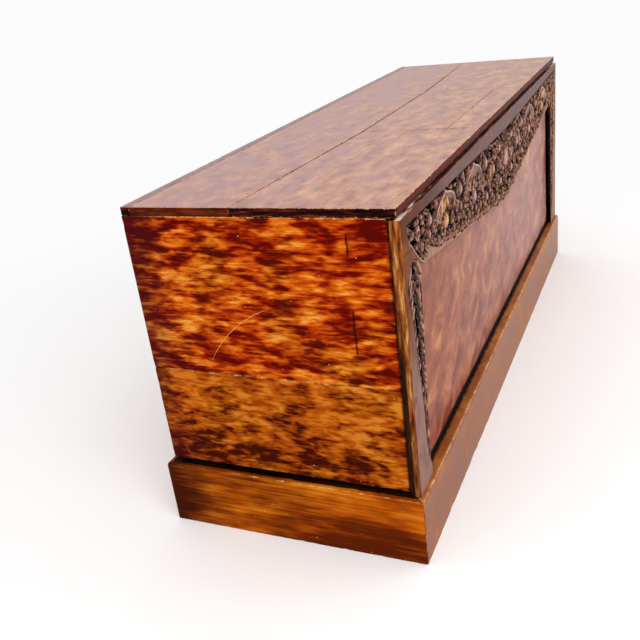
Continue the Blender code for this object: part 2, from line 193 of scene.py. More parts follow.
# amber lacquer over soft wood, a dark glaze rubbed on in patches: glossy, mottled like tortoiseshell along the grain
def amberLacquer(name, along, ramp, sizes, bareFrom, rearDark=None, shift=0.0, cornerShade=None, calm=1.0,
                 scuffed=False, shades=(), mottle=amber["layers"]):
    material, tree, shader, spot = newMaterial(name, {"IOR": lacquerBend, "Specular IOR Level": amber["shine"]})
    split = addNode(tree, "SeparateXYZ", [spot])
    x, y, z = split.outputs
    tones = 0.0
    for size, (long, detail, twist, share, soft) in zip(sizes, mottle):
        look = (size, detail, amber["rough"], twist, 1.0 / (long * calm))
        layer = drawnNoise(tree, spot, along, look, (shift, shift, shift * 0.7))[0]
        # little softness turns the cloud into patches with clear edges
        patch = addNode(tree, "MapRange", [layer, 0.5 - soft, 0.5 + soft])
        tones = addNode(tree, "Math", [patch, share, tones], operation="MULTIPLY_ADD")
    tones = addShades(tree, tones, split, shades)
    glaze = addNode(tree, "Math", [tones, amber["contrast"], 0.5 - 0.5 * amber["contrast"]],
                    operation="MULTIPLY_ADD", use_clamp=True)
    fresh, aged = [addNode(tree, "ValToRGB", [glaze], stops) for stops in (ramp, amber["brown"])]
    hue = addNode(tree, "TexNoise", {"Vector": spot, "Scale": 1 / (amber["hueSize"] * mm), "Detail": 2})
    bare, chip = wornEdge(tree, spot, amber["chips"], bareFrom, bareFrom + amber["bareFade"], amber["bareMost"])
    # small pale flecks are where the lacquer was knocked off
    covers = [(addNode(tree, "MapRange", [hue, *amber["turn"]]), aged), (bare, amber["worn"]),
              (specks(tree, spot, amber["flecks"]), amber["worn"])]
    if rearDark:
        # the lacquer turns dark towards the rear edge, sooner where the glaze is dark
        fade = addNode(tree, "MapRange", [y, *rearDark[:2]])
        uneven = addNode(tree, "Math", [glaze, -0.5, fade], operation="MULTIPLY_ADD")
        covers.append((addNode(tree, "MapRange", [uneven, *amber["rearRange"]]), rearDark[2]))
    if scuffed:
        # one long curved scratch and two dark upright scuffs on the left end
        scratch = amber["scratch"]
        flat = addNode(tree, "CombineXYZ", {"Y": y, "Z": z})
        reach = addNode(tree, "VectorMath", [flat, (0, *scratch["middle"])], operation="DISTANCE").outputs["Value"]
        off = addNode(tree, "Math", [reach, scratch["radius"], scratch["wide"] * 0.5], operation="COMPARE")
        onLeft = addNode(tree, "Math", [x, 0.0], operation="LESS_THAN")
        start = addNode(tree, "MapRange", [y, scratch["from"], scratch["from"] + scratch["fade"]])
        stop = addNode(tree, "MapRange", [y, scratch["to"], scratch["to"] - scratch["fade"]])
        above = addNode(tree, "Math", [z, scratch["lowest"]], operation="GREATER_THAN")
        covers.append((product(tree, off, onLeft, start, stop, above), scratch["colour"]))
        for middle, low, high in amber["marks"]:
            wavy = addNode(tree, "Math", [chip, amber["markWave"], y], operation="MULTIPLY_ADD")
            aside = addNode(tree, "Math", [wavy, middle + amber["markWave"] / 2], operation="SUBTRACT")
            away = addNode(tree, "Math", [aside], operation="ABSOLUTE")
            column = addNode(tree, "MapRange", [away, *amber["markRange"]])
            tall = addNode(tree, "Math", [z, (low + high) / 2, (high - low) / 2], operation="COMPARE")
            mark = product(tree, column, tall, onLeft)
            covers.append((addNode(tree, "MapRange", [mark, 0.0, 1.0, 0.0, amber["markMost"]]), amber["corner"]))
    if cornerShade:
        # painted shade in the corner behind the stile
        covers.append((addNode(tree, "MapRange", [y, *cornerShade, *amber["cornerShadeCover"]]), amber["corner"]))
    # painted shade and grime under the body, on the plinth rails' top faces
    covers.append((shadeAndGrimeCover(tree, amber["shadedAndSoiled"]), amber["shadeAndGrime"]))
    finishSurface(tree, shader, fresh, covers, glaze, amber["gloss"], tones, amber["bump"])
    return material


endUpperLacquer = amberLacquer("amber lacquer, upper end boards", 1, amber["upper"], amber["upperSizes"], 1.13,
                               (0.155, 0.28, amber["rear"]), cornerShade=(-0.2600, -0.2545), calm=1.15, scuffed=True,
                               shades=amber["upperShade"])
endLowerLacquer = amberLacquer("amber lacquer, lower end boards", 1, amber["lower"], amber["lowerSizes"], 1.16,
                               (0.19, 0.30, amber["rear"]), 0.37, (-0.2600, -0.2555), shades=amber["lowerShade"])
plinthLacquer = amberLacquer("amber lacquer, plinth ends", 1, amber["plinth"], amber["plinthSizes"], 1.17,
                             (0.08, 0.29, amber["plinthRear"]), 0.81, shades=amber["plinthShade"],
                             mottle=amber["plinthLayers"])
backLacquer = amberLacquer("amber lacquer, back", 0, amber["lower"], amber["backSizes"], 1.20, shift=1.7, calm=3.0)

redBrown = {
    "panel": [(0.37, "#74341E"), (0.46, "#8C4931"), (0.53, "#9A563F"), (0.60, "#AC6A46"), (0.69, "#C08656")],
    # the far ramp is paler and lilac: a painted sheen on the panel towards the far end
    "panelFar": [(0.37, "#86544C"), (0.46, "#A06A61"), (0.53, "#AC766B"), (0.60, "#BA8770"), (0.69, "#CA9C7C")],
    "plinth": [(0.34, "#74370F"), (0.46, "#85451C"), (0.58, "#935124"), (0.72, "#A9682E")],
    "band": [(0.34, "#563A38"), (0.48, "#6A4A48"), (0.60, "#785553"), (0.74, "#8E6A5C")],
    "bandEnd": [(0.34, "#421A06"), (0.48, "#552409"), (0.60, "#64300F"), (0.74, "#7E4720")],
    "stile": [(0.34, "#6A4A40"), (0.46, "#866257"), (0.58, "#946E62"), (0.72, "#AA8066")],
    "lip": [(0.34, "#845844"), (0.46, "#9A6A54"), (0.58, "#A8765E"), (0.72, "#B88666")],
    "stileTop": [(0.34, "#4E2210"), (0.48, "#6C3820"), (0.60, "#804829"), (0.74, "#965C36")],
    # axis, from and to in metres, and the ramp that the lacquer turns to between them
    "panelSheenTurn": (0, -0.65, 0.30, "panelFar"), "bandTurn": (0, -0.58, -0.86, "bandEnd"),
    "stileTurn": (2, 0.40, 0.52, "stileTop"),
    "bandShade": [(2, 0.668, 0.650, 0.20)], "plinthShade": [(2, 0.10, 0.135, 0.06), (0, -0.55, -0.25, 0.05)],
    "speck": "#3A1810", "worn": "#E0AE7E", "shadeAndGrime": "#0B0403",
    "cloud": (50, 4, 0.6, 0.8, 0.62), "streak": (4, 3, 0.6, 0.0, 0.09), "streakShare": 0.12,
    "specks": (28, 0.05, 0.10, 0.8, 0.0), "chips": (24, 5, 0.7, 0.7), "shadedAndSoiled": (0.0, 1.0, 0.0, 0.97),
    "gloss": (0.35, 0.65, 0.30, 0.42), "bump": (0.2, 1.0 * mm),
}


# thin red brown lacquer, rubbed satin: shows brush streaks, old drips on the slant and small dark specks
def redBrownLacquer(name, ramp, slant, shine, worn=(1.30, 1.42), turn=None, shades=()):
    material, tree, shader, spot = newMaterial(name, {"IOR": lacquerBend, "Specular IOR Level": shine})
    split = addNode(tree, "SeparateXYZ", [spot])
    turned = addNode(tree, "Mapping", {"Vector": spot, "Rotation": (0, math.radians(slant), 0)})
    cloud, drawn = drawnNoise(tree, turned, 0, redBrown["cloud"])
    streak = drawnNoise(tree, turned, 0, redBrown["streak"])[0]
    tone = addShades(tree, blend(tree, cloud, streak, redBrown["streakShare"]), split, shades)
    covers = []
    # on the panel the turn is a painted sheen, paler and lilac towards the far end
    if turn:
        axis, begin, end, other = turn
        covers.append((addNode(tree, "MapRange", [split.outputs[axis], begin, end]),
                       addNode(tree, "ValToRGB", [tone], redBrown[other])))
    # the last cover is painted shadow and soot below the carving on the panel, and painted shade and grime under the
    # body on the plinth's top face
    covers += [(specks(tree, drawn, redBrown["specks"]), redBrown["speck"]),
               (wornEdge(tree, spot, redBrown["chips"], *worn)[0], redBrown["worn"]),
               (shadeAndGrimeCover(tree, redBrown["shadedAndSoiled"]), redBrown["shadeAndGrime"])]
    finishSurface(tree, shader, addNode(tree, "ValToRGB", [tone], ramp), covers, cloud, redBrown["gloss"], tone,
                  redBrown["bump"])
    return material


panelLacquer = redBrownLacquer("red brown lacquer, panel", redBrown["panel"], 27, 0.08, (1.55, 1.65),
                               redBrown["panelSheenTurn"])
plinthFrontLacquer = redBrownLacquer("red brown lacquer, plinth front", redBrown["plinth"], 4, 0.16, (1.25, 1.42),
                                     shades=redBrown["plinthShade"])
bandLacquer = redBrownLacquer("red brown lacquer, frieze band", redBrown["band"], 0, 0.02, turn=redBrown["bandTurn"],
                              shades=redBrown["bandShade"])
lipLacquer = redBrownLacquer("red brown lacquer, frieze lip", redBrown["lip"], 8, 0.04)
stileLacquer = redBrownLacquer("red brown lacquer, stiles", redBrown["stile"], 80, 0.02, turn=redBrown["stileTurn"])

tan = {
    "ramp": [(0.37, "#865446"), (0.455, "#A66F5B"), (0.515, "#B58067"), (0.57, "#C28E70"), (0.66, "#D0A184")],
    "stripRamp": [(0.36, "#5A2C24"), (0.48, "#744236"), (0.60, "#8A5542"), (0.70, "#9E6852")],
    "speck": "#5E3024", "lilac": "#A07A80", "worn": "#E6BE92", "shine": 0.34,
    "cloud": (38, 5, 0.6, 0.1, 0.6), "grain": (5, 3, 0.6, 0.0, 0.04), "grainShare": 0.14,
    # the bloom's mm, its rise towards the rear, which is painted sheen, and the range that turns it into cover
    "bloomSize": 70, "sheenTowardsRear": (-0.2, 0.2, -0.12, 0.14), "bloom": (0.36, 0.80, 0.0, 0.7),
    "specks": (34, 0.05, 0.13, 0.75, 0.0), "chips": (9, 3, 0.65, 0.5), "wornRange": (1.15, 1.28, 0.7),
    "gloss": (0.35, 0.65, 0.30, 0.44), "bump": (0.2, 1.0 * mm),
}


# tan lacquer worn thin on the top: satin, faint grain along the chest, lilac bloom that grows towards the rear as
# painted sheen, and small knots
def tanLacquer(name, ramp):
    material, tree, shader, spot = newMaterial(name, {"IOR": lacquerBend, "Specular IOR Level": tan["shine"]})
    cloud, drawn = drawnNoise(tree, spot, 0, tan["cloud"])
    tone = blend(tree, cloud, drawnNoise(tree, spot, 0, tan["grain"])[0], tan["grainShare"])
    haze = addNode(tree, "TexNoise", {"Vector": drawn, "Scale": 1 / (tan["bloomSize"] * mm), "Detail": 4,
                                      "Roughness": 0.65})
    split = addNode(tree, "SeparateXYZ", [spot])
    # painted sheen: the lilac bloom grows towards the rear
    sheenTowardsRear = addNode(tree, "MapRange", [split.outputs[1], *tan["sheenTowardsRear"]])
    hazeSum = addNode(tree, "Math", [haze, sheenTowardsRear], operation="ADD")
    covers = [(addNode(tree, "MapRange", [hazeSum, *tan["bloom"]]), tan["lilac"]),
              (specks(tree, drawn, tan["specks"]), tan["speck"]),
              (wornEdge(tree, spot, tan["chips"], *tan["wornRange"])[0], tan["worn"])]
    finishSurface(tree, shader, addNode(tree, "ValToRGB", [tone], ramp), covers, cloud, tan["gloss"], tone, tan["bump"])
    return material


topLacquer = tanLacquer("tan lacquer, top", tan["ramp"])
stripLacquer = tanLacquer("tan lacquer, rear strip", tan["stripRamp"])

edges = {
    "end": [(0.36, "#0A0102"), (0.47, "#1E0405"), (0.56, "#420D07"), (0.66, "#6E280E")],
    "rearEnd": [(0.36, "#330B03"), (0.47, "#471403"), (0.56, "#591D05"), (0.66, "#712D0A")],
    "front": [(0.34, "#2E0703"), (0.48, "#4A0E05"), (0.60, "#671E09"), (0.72, "#9A4614")],
    "stile": [(0.32, "#2A0D03"), (0.42, "#68300D"), (0.51, "#904C1D"), (0.59, "#A8672E"), (0.68, "#C68F54"),
              (0.78, "#E0BC8C")],
    # the upper edge's ramp runs to near white, a painted highlight
    "upper": [(0.40, "#1A0906"), (0.58, "#4A2114"), (0.68, "#94644A"), (0.78, "#E6D6C8")],
    "worn": "#DFB078", "shadeColour": "#3C1406", "cornerShadeColour": "#120503", "shine": 0.03,
    "shade": (0.45, 0.0), "corner": (-0.2725, -0.2695, 0.0, 0.92), "cornerTop": (0.43, 0.57, 1.0, 0.1),
    "cloud": (6, 4, 0.6, 0.2, 0.12), "chips": (9, 3, 0.65, 0.5), "bareMost": 0.9,
    "gloss": (0.35, 0.65, 0.32, 0.5), "bump": (0.35, 1.0 * mm),
}


# lacquer caught on board edges: dark and streaky on end grain, rubbed to bare wood at the arris
def edgeLacquer(name, ramp, along, worn, shade=None, ends=None):
    material, tree, shader, spot = newMaterial(name, {"IOR": lacquerBend, "Specular IOR Level": edges["shine"]})
    cloud = drawnNoise(tree, spot, along, edges["cloud"])[0]
    x, y, z = addNode(tree, "SeparateXYZ", [spot]).outputs
    tone = cloud
    if ends:
        # painted highlight: paler towards both ends of the chest
        away = addNode(tree, "Math", [x], operation="ABSOLUTE")
        paler = addNode(tree, "MapRange", [away, ends[0], ends[1], 0.0, ends[2]])
        tone = addNode(tree, "Math", [cloud, paler], operation="ADD")
    covers = []
    if shade:
        # darker towards the foot, and painted shade in the corner behind
        behind = addNode(tree, "MapRange", [y, *edges["corner"]])
        low = addNode(tree, "MapRange", [z, *edges["cornerTop"]])
        covers = [(addNode(tree, "MapRange", [z, *shade, *edges["shade"]]), edges["shadeColour"]),
                  (product(tree, behind, low), edges["cornerShadeColour"])]
    covers.append((wornEdge(tree, spot, edges["chips"], *worn, edges["bareMost"])[0], edges["worn"]))
    finishSurface(tree, shader, addNode(tree, "ValToRGB", [tone], ramp), covers, cloud, edges["gloss"], cloud,
                  edges["bump"])
    return material


lidEndLacquer = edgeLacquer("dark lacquer on end grain", edges["end"], 1, (1.18, 1.30))
lidRearEndLacquer = edgeLacquer("amber lacquer on end grain", edges["rearEnd"], 1, (1.28, 1.35))
lidFrontLacquer = edgeLacquer("red lacquer on the lid front edge", edges["front"], 0, (1.17, 1.28))
stileSideWood = edgeLacquer("rubbed bare wood, stile sides", edges["stile"], 2, (1.10, 1.30), (0.19, 0.50))
friezeEdgeWearAndHighlight = edgeLacquer("rubbed wood, upper edge of the frieze", edges["upper"], 0, (1.10, 1.30),
                             ends=(0.62, 0.84, 0.20))

carved = {
    "ramp": [(0.0, "#A67468"), (0.19, "#885A4E"), (0.36, "#4E2C24"), (0.53, "#140706"), (1.0, "#050202")],
    "golden": [(0.0, "#AE7E50"), (0.19, "#906236"), (0.36, "#523018"), (0.53, "#160904"), (1.0, "#060302")],
    "bud": [(0.0, "#D29A5C"), (0.3, "#A96E38"), (0.6, "#6A3A1C"), (0.9, "#241009")],
    "worn": "#D6AE9E", "budWorn": "#E0B27C", "patchSize": 12, "uneven": 0.35, "settle": 0.17, "goldenSize": 55,
    "turn": (0.46, 0.62, 0.0, 0.8), "rubbed": (0.16, 0.05, 0.0, 0.65), "gloss": (0.35, 0.65, 0.22, 0.4),
    "bump": (0.25, 1.0 * mm),
}


# carved lacquer, coloured by depth: almost black in the hollows, as dust and painted shade, brown on the slopes, rubbed
# pale and shiny on the high points, partly a painted highlight
def carvedLacquer(name, shine, ramp=carved["ramp"], worn=carved["worn"]):
    material, tree, shader, spot = newMaterial(name, {"IOR": lacquerBend, "Specular IOR Level": shine})
    split = addNode(tree, "SeparateXYZ", [spot])
    depth = addNode(tree, "MapRange", [split.outputs[1], front["face"], front["ground"]])
    patch = addNode(tree, "TexNoise", {"Vector": spot, "Scale": 1 / (carved["patchSize"] * mm), "Detail": 3,
                                       "Roughness": 0.6})
    uneven = addNode(tree, "Math", [patch, carved["uneven"], depth], operation="MULTIPLY_ADD")
    level = addNode(tree, "Math", [uneven, carved["settle"]], operation="SUBTRACT", use_clamp=True)
    mauve, golden = [addNode(tree, "ValToRGB", [level], stops) for stops in (ramp, carved["golden"])]
    hue = addNode(tree, "TexNoise", {"Vector": spot, "Scale": 1 / (carved["goldenSize"] * mm), "Detail": 2})
    # the pale cover on the high points is rubbed lacquer and a painted highlight
    covers = [(addNode(tree, "MapRange", [hue, *carved["turn"]]), golden),
              (addNode(tree, "MapRange", [level, *carved["rubbed"]]), worn)]
    finishSurface(tree, shader, mauve, covers, patch, carved["gloss"], patch, carved["bump"])
    return material


leafLacquer = carvedLacquer("carved brown lacquer", 0.16)
tailLacquer = carvedLacquer("carved brown lacquer, stiles", 0.10)
hollowDustAndShade = carvedLacquer("black lacquer, dust and painted shade in the hollows", 0.0)
budLacquer = carvedLacquer("carved lacquer rubbed to orange wood", 0.3, carved["bud"], carved["budWorn"])

raw = {"ramp": [(0.30, "#5E3F24"), (0.45, "#7C5836"), (0.58, "#977048"), (0.72, "#AE895E")],
       "dirtAndShade": [(0.30, "#0E0704"), (0.50, "#1C100A"), (0.70, "#2C1A10")],
       "bands": (9, 4, 0.6, 0.4, 0.05), "gloss": (0.3, 0.7, 0.62, 0.8), "bump": (0.3, 0.8 * mm)}


# bare sawn softwood inside: matt, pale bands along the grain with darker late wood
def rawWood(name, along, ramp):
    material, tree, shader, spot = newMaterial(name, {"IOR": 1.45, "Specular IOR Level": 0.3})
    bands = drawnNoise(tree, spot, along, raw["bands"])[0]
    finishSurface(tree, shader, addNode(tree, "ValToRGB", [bands], ramp), (), bands, raw["gloss"], bands, raw["bump"])
    return material


rawWoods = [rawWood("bare softwood, grain along " + axis, index, raw["ramp"]) for index, axis in enumerate("xyz")]
# near-black copies of the softwood: dirt and painted shade on the inner pieces seen through the gap under the body
dirtAndShadeWoods = [rawWood("sooty softwood, grain along " + axis, index, raw["dirtAndShade"]) for index, axis in enumerate("xyz")]
print("materials made:", len(bpy.data.materials))


def toMesh(block, name):
    mesh = bpy.data.meshes.new(name)
    block.to_mesh(mesh)
    block.free()
    return mesh


# one block's shape goes into another
def pour(block, target):
    mesh = toMesh(block, "poured")
    target.from_mesh(mesh)
    bpy.data.meshes.remove(mesh)


def addObject(name, data):
    holder = bpy.data.objects.new(name, data)
    bpy.context.scene.collection.objects.link(holder)
    return holder


# a finished shape becomes a piece that rides on a body and stands for its CAD nodes
def addPiece(name, block, body, materials, nodes=(), smooth=38):
    bmesh.ops.recalc_face_normals(block, faces=block.faces)
    mesh = toMesh(block, name)
    for material in materials:
        mesh.materials.append(material)
    mesh.shade_smooth()
    mesh.set_sharp_from_angle(angle=math.radians(smooth))
    piece = addObject(name, mesh)
    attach(piece, body)
    if nodes:
        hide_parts(*nodes)


def soften(block, rim, arris):
    bmesh.ops.bevel(block, geom=rim, offset=arris, offset_type="OFFSET", affect="EDGES", segments=2, profile=0.5,
                    material=-1)


# edges over so many degrees are arrises; a point is near one from so far in, and chips bite into it from closer by
wear = {"sharp": 35, "near": 20 * mm, "bite": 6 * mm, "deep": 2.6 * mm, "from": 0.25, "scale": 40, "fine": 3.1}


# block with fine loops between two corners, bent to shape by mould, its arrises softened, chipped and marked as near
def plank(low, high, step, arris, mould=None, chip=1.0, seed=0.0, thickStep=8 * mm):
    block = bmesh.new()
    bmesh.ops.create_cube(block, size=1.0)
    size = high - low
    bmesh.ops.scale(block, vec=size, verts=block.verts)
    bmesh.ops.translate(block, vec=(low + high) / 2, verts=block.verts)
    thin = min(range(3), key=lambda axis: size[axis])
    for axis in range(3):
        cuts = max(1, round(size[axis] / (thickStep if axis == thin else step))) - 1
        run = [e for e in block.edges if abs(e.verts[0].co[axis] - e.verts[1].co[axis]) > 0.5 * size[axis]]
        if cuts:
            bmesh.ops.subdivide_edges(block, edges=run, cuts=cuts, use_grid_fill=True)
    if mould:
        for vert in block.verts:
            vert.co = mould(vert.co)
    block.normal_update()
    sharp = [e for e in block.edges if e.calc_face_angle() > math.radians(wear["sharp"])]
    corners = {v for e in sharp for v in e.verts}
    tree = KDTree(len(corners))
    for index, vert in enumerate(corners):
        tree.insert(vert.co, index)
    tree.balance()
    soften(block, sharp, arris)
    block.normal_update()
    near = block.verts.layers.float.new("edgeNear")
    moves = []
    for vert in block.verts:
        away = tree.find(vert.co)[2]
        vert[near] = max(0.0, 1.0 - away / wear["near"])
        place = vert.co * wear["scale"] + Vector((seed, seed * 1.7, seed * 0.6))
        rough = noise.noise(place) + 0.5 * noise.noise(place * wear["fine"])
        bite = max(0.0, rough - wear["from"]) * max(0.0, 1.0 - away / wear["bite"])
        moves.append(vert.normal * (-wear["deep"] * chip * bite))
    for vert, move in zip(block.verts, moves):
        vert.co += move
    return block


# faces that look along an axis take another material slot
def paintFaces(block, axis, sign, slotIndex):
    block.normal_update()
    for face in block.faces:
        if face.normal[axis] * sign > 0.6:
            face.material_index = slotIndex


def inBox(*nodes):
    boxes = [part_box(node) for node in nodes]
    low = Vector([min(b[0][axis] for b in boxes) for axis in range(3)])
    high = Vector([max(b[1][axis] for b in boxes) for axis in range(3)])
    return low, high


# walls of the body, lacquered outside and bare inside
body = {"step": 8 * mm, "arris": 1.2 * mm, "panelArris": 0.8 * mm, "backStep": 14 * mm, "shadowAndSoot": 0.32,
        "shadowReach": 30 * mm}
friezeSolid = bmesh.new()
friezeSolid.from_mesh(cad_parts["carved_frieze"].data)
friezeTree = BVHTree.FromBMesh(friezeSolid)
friezeSolid.free()
for side in ("left", "right"):
    for level, lacquer in (("upper", endUpperLacquer), ("lower", endLowerLacquer)):
        node = f"{side}_end_{level}_board"
        block = plank(*inBox(node), body["step"], body["arris"], chip=1.3, seed=len(node) + (side == "left"))
        paintFaces(block, 0, 1 if side == "left" else -1, 1)
        addPiece(f"{side}_end_{level}", block, "chest", [lacquer, rawWoods[1]], [node])
for level in ("upper", "lower"):
    node = f"back_{level}_board"
    block = plank(*inBox(node), body["backStep"], body["arris"], seed=3.0)
    paintFaces(block, 1, -1, 1)
    addPiece(f"back_{level}", block, "chest", [backLacquer, rawWoods[0]], [node])
panelNodes = ["front_panel_upper_board", "front_panel_lower_board", "front_panel_spline"]
block = plank(*inBox(*panelNodes[:2]), body["step"], body["panelArris"], chip=0.4, seed=5.0)
shadeAndGrime = block.verts.layers.float.new("shadeAndGrime")
for vert in block.verts:
    under = friezeTree.find_nearest(vert.co)[3]         # painted shadow and soot just below the carving
    vert[shadeAndGrime] = body["shadowAndSoot"] * max(0.0, 1.0 - under / body["shadowReach"])
paintFaces(block, 1, 1, 1)
addPiece("front_panel", block, "chest", [panelLacquer, rawWoods[0]], panelNodes)
print("body boards made")

# plinth: mitred rails with a rounded upper arris
plinth = {"step": 8 * mm, "thickStep": 4 * mm, "arris": 1.5 * mm, "round": 6 * mm, "unshadedWidth": 8 * mm,
          "unshadedWidthFront": 19 * mm, "ragged": 3 * mm, "raggedScale": 60, "skin": 2 * mm, "fade": 4 * mm}
for name, along, sign, lacquer, slot in (
        ("left", 1, -1, plinthLacquer, "amber_lacquer"), ("right", 1, 1, plinthLacquer, "amber_lacquer"),
        ("front", 0, -1, plinthFrontLacquer, "mauve_lacquer"), ("back", 0, 1, backLacquer, "amber_lacquer")):
    low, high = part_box(f"plinth_{name}_rail")
    across = 1 - along
    outer = (low if sign < 0 else high)[across]

    def mitre(spot):
        spot = spot.copy()
        inward = abs(spot[across] - outer)
        end = high[along]
        spot[along] *= (end - inward) / end
        # upper outer arris rounded over
        drop = plinth["round"]
        up = spot.z - (high.z - drop)
        if up > 0 and inward < drop:
            out = drop - inward
            reach = math.hypot(up, out)
            if reach > 0:
                scale = max(up, out) / reach
                spot.z = high.z - drop + up * scale
                moved = drop - out * scale
                spot[across] = outer + moved * (1 if sign < 0 else -1)
        return spot

    block = plank(low, high, plinth["step"], plinth["arris"], mitre, chip=1.2, seed=11 + along * 3 + sign,
                  thickStep=plinth["thickStep"])
    # painted shade and grime on the top face, from a ragged line inward, where the body stands over it
    shadeAndGrime = block.verts.layers.float.new("shadeAndGrime")
    for vert in block.verts:
        inward = abs(vert.co[across] - outer)
        unshadedWidth = plinth["unshadedWidthFront" if name == "front" else "unshadedWidth"]
        start = unshadedWidth + plinth["ragged"] * noise.noise(vert.co * plinth["raggedScale"])
        if vert.co.z > high.z - plinth["skin"]:
            vert[shadeAndGrime] = max(0.0, min(1.0, (inward - start) / plinth["fade"]))
    addPiece(f"plinth_{name}", block, "chest", [lacquer], [f"plinth_{name}_rail"])
print("plinth made")

# top: fixed boards round the hatch, the split between them runs on a slant towards the ends
top = {"step": 8 * mm, "thickStep": 6 * mm, "arris": 2.4 * mm, "splitEnd": 0.040, "splitHatch": 0.011,
       "rearGap": 2.5 * mm, "seam": 0.3 * mm, "closing": 1.35}
rearLow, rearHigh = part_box("top_rear_board")
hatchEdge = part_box("top_front_right_board")[0].x


def endShare(x):
    return (abs(x) - hatchEdge) / (rearHigh.x - hatchEdge)


def splitAt(x):
    return top["splitHatch"] + (top["splitEnd"] - top["splitHatch"]) * max(0.0, endShare(x))


def rearMould(spot):
    share = (spot.y - rearLow.y) / (rearHigh.y - rearLow.y)
    start = splitAt(spot.x)
    return Vector((spot.x, start + (rearHigh.y - start) * share, spot.z))


frontLow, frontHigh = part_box("top_front_left_board")


def frontMould(spot):
    share = (spot.y - frontLow.y) / (frontHigh.y - frontLow.y)
    opening = top["rearGap"] * max(0.0, min(1.0, top["closing"] * (1.0 - endShare(spot.x))))
    finish = splitAt(spot.x) - top["seam"] - opening
    return Vector((spot.x, frontLow.y + (finish - frontLow.y) * share, spot.z))


for name, mould, piece in (("top_rear_board", rearMould, "top_rear"), ("top_rear_strip", None, "top_strip"),
                           ("top_front_left_board", frontMould, "top_front_left"),
                           ("top_front_right_board", frontMould, "top_front_right"),
                           ("hatch_front_board", None, "hatch_front"), ("hatch_rear_board", None, "hatch_rear")):
    low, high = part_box(name)
    block = plank(low, high, top["step"], top["arris"], mould, chip=0.9, seed=20 + len(name),
                  thickStep=top["thickStep"])
    for side in (-1, 1):
        paintFaces(block, 0, side, 1)
    paintFaces(block, 1, -1, 2)
    paintFaces(block, 2, -1, 3)
    materials = [stripLacquer if piece == "top_strip" else topLacquer,
                 lidRearEndLacquer if piece == "top_rear" else lidEndLacquer, lidFrontLacquer, rawWoods[0]]
    rides = "hatch" if name.startswith("hatch") else "chest"
    addPiece(piece, block, rides, materials, [name])
print("top boards made")


def vertsOf(made):
    return [v for v in made["geom"] if isinstance(v, bmesh.types.BMVert)]


# flat shape through (from the left end, up) points, pulled back to its thickness
def cutOut(points, face, rear, arris):
    block = bmesh.new()
    sheet = block.faces.new([block.verts.new((front["left"] + across, face, up)) for across, up in points])
    grown = bmesh.ops.extrude_face_region(block, geom=[sheet])
    bmesh.ops.translate(block, vec=(0, rear - face, 0), verts=vertsOf(grown))
    bmesh.ops.recalc_face_normals(block, faces=block.faces)
    soften(block, [e for e in block.edges if all(abs(v.co.y - face) < 1e-6 for v in e.verts)], arris)
    return block


# the right side of the front is the left side turned over
def toSide(block, side):
    bmesh.ops.scale(block, vec=(side, 1, 1), verts=block.verts)


def mirrorCopy(block):
    copied = bmesh.ops.duplicate(block, geom=block.verts[:] + block.edges[:] + block.faces[:])
    bmesh.ops.scale(block, vec=(-1, 1, 1), verts=vertsOf(copied))


# the same points counted from the far end
def farEnd(points):
    return [(-2 * front["left"] - across, up) for across, up in points]


# the ground that the carving stands on keeps the CAD outline, set back to the bottom of the hollows
for name, piece in (("carved_frieze", "frieze_ground"), ("carved_stile_left", "stile_ground_left"),
                    ("carved_stile_right", "stile_ground_right")):
    block = bmesh.new()
    block.from_mesh(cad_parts[name].data)
    bmesh.ops.remove_doubles(block, verts=block.verts, dist=1e-5)
    bmesh.ops.dissolve_limit(block, angle_limit=math.radians(1), verts=block.verts, edges=block.edges)
    for vert in block.verts:
        vert.co.y = max(vert.co.y, front["ground"])
    block.normal_update()
    for face in block.faces:
        if abs(face.normal.x) > 0.9 and abs(abs(face.calc_center_median().x) + front["left"]) < 2 * mm:
            face.material_index = 1
    # the ground is black as dust and painted shade in the hollows
    addPiece(piece, block, "chest", [hollowDustAndShade, stileSideWood], [name], 15)

# plain band along the upper edge of the frieze
band = {"joint": front["topEdge"] - 0.067, "middle": front["topEdge"] - 0.038, "arris": 1.2 * mm,
        "slope": [(0.036, 0.655), (0.030, 0.684)], "wide": 0.048}
halfBand = [(0.0, front["topEdge"]), (0.0, band["joint"]), (band["wide"], band["joint"])] + band["slope"]
block = cutOut(halfBand + [(-front["left"], band["middle"])] + farEnd(reversed(halfBand)), front["face"],
               front["ground"], band["arris"])
for side in (-1, 1):
    paintFaces(block, 0, side, 1)
paintFaces(block, 2, 1, 2)
addPiece("frieze_band", block, "chest", [bandLacquer, stileSideWood, friezeEdgeWearAndHighlight], smooth=15)

# plain strip of each stile, up to the left boundary of its carved tail
stile = {"foot": 0.1493, "footWide": 0.0838, "seam": band["joint"] - 0.3 * mm, "arris": 1.0 * mm, "inner": 0.88,
         "neckFace": front["face"] + 0.6 * mm,
         "tail": [(0.0805, 0.176), (0.0690, 0.200), (0.0610, 0.228), (0.0570, 0.272), (0.0565, 0.312), (0.0505, 0.360),
                  (0.0440, 0.402), (0.0385, 0.443), (0.0293, 0.506), (0.0150, 0.552), (0.0130, 0.572), (0.0190, 0.588),
                  (0.0330, 0.600), (0.0480, 0.612), (0.0556, 0.6137)],
         "neck": [(0.0558, 0.6354), (0.0558, 0.6137), (0.0600, 0.6135), (0.0720, 0.6085), (0.0840, 0.5975),
                  (0.0940, 0.5825), (0.0990, 0.5700), (0.1025, 0.5932), (0.09125, 0.6024), (0.0795, 0.6127),
                  (0.06775, 0.6240)]}
stripPoints = [(0.0, stile["seam"]), (0.0, stile["foot"]), (stile["footWide"], stile["foot"])] + stile["tail"] + [
    (stile["neck"][0][0], stile["seam"])]
